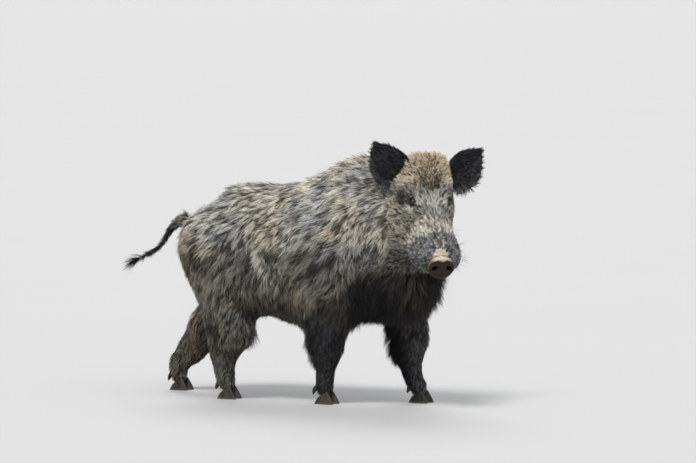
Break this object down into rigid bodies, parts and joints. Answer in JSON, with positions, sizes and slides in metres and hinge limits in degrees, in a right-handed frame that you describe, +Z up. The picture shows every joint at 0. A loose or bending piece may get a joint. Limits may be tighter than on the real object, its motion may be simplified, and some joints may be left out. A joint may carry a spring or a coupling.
{
  "type": "wild boar",
  "caption": "Life-size wild boar in a long grizzled coat, walking with its head turned to its right and its ears raised.",
  "frame": {"origin": "on the floor, under the middle of the box round the whole animal", "axes": "+Z up; the trunk lies along Y with the animal facing -Y; +X to the animal's left"},
  "size_m": [0.4304, 1.3158, 0.8484],
  "materials": {
    "grizzled_coat": "long, stiff, grizzled bristles in locks",
    "dark_coat": "short to medium blackish hair",
    "bare_skin": "moist, finely wrinkled bare skin",
    "eye": "wet, dark brown",
    "horn": "worn dark horn"
  },
  "bodies": {
    "root": {"head": "grizzled_coat", "lower_jaw": "dark_coat", "nose_disc": "bare_skin", "eye_right": "eye", "ear_right": "dark_coat", "eye_left": "eye", "ear_left": "dark_coat", "trunk": "grizzled_coat", "neck": "grizzled_coat", "tail": "dark_coat", "tail_tassel": "dark_coat", "upper_leg_fore_right": "dark_coat", "lower_leg_fore_right": "dark_coat", "upper_leg_fore_left": "dark_coat", "lower_leg_fore_left": "dark_coat", "upper_leg_hind_right": "dark_coat", "lower_leg_hind_right": "dark_coat", "upper_leg_hind_left": "dark_coat", "lower_leg_hind_left": "dark_coat", "claw_fore_right_inner": "horn", "dewclaw_fore_right_inner": "horn", "claw_fore_right_outer": "horn", "dewclaw_fore_right_outer": "horn", "claw_fore_left_inner": "horn", "dewclaw_fore_left_inner": "horn", "claw_fore_left_outer": "horn", "dewclaw_fore_left_outer": "horn", "claw_hind_right_inner": "horn", "dewclaw_hind_right_inner": "horn", "claw_hind_right_outer": "horn", "dewclaw_hind_right_outer": "horn", "claw_hind_left_inner": "horn", "dewclaw_hind_left_inner": "horn", "claw_hind_left_outer": "horn", "dewclaw_hind_left_outer": "horn"}
  },
  "joints": []
}
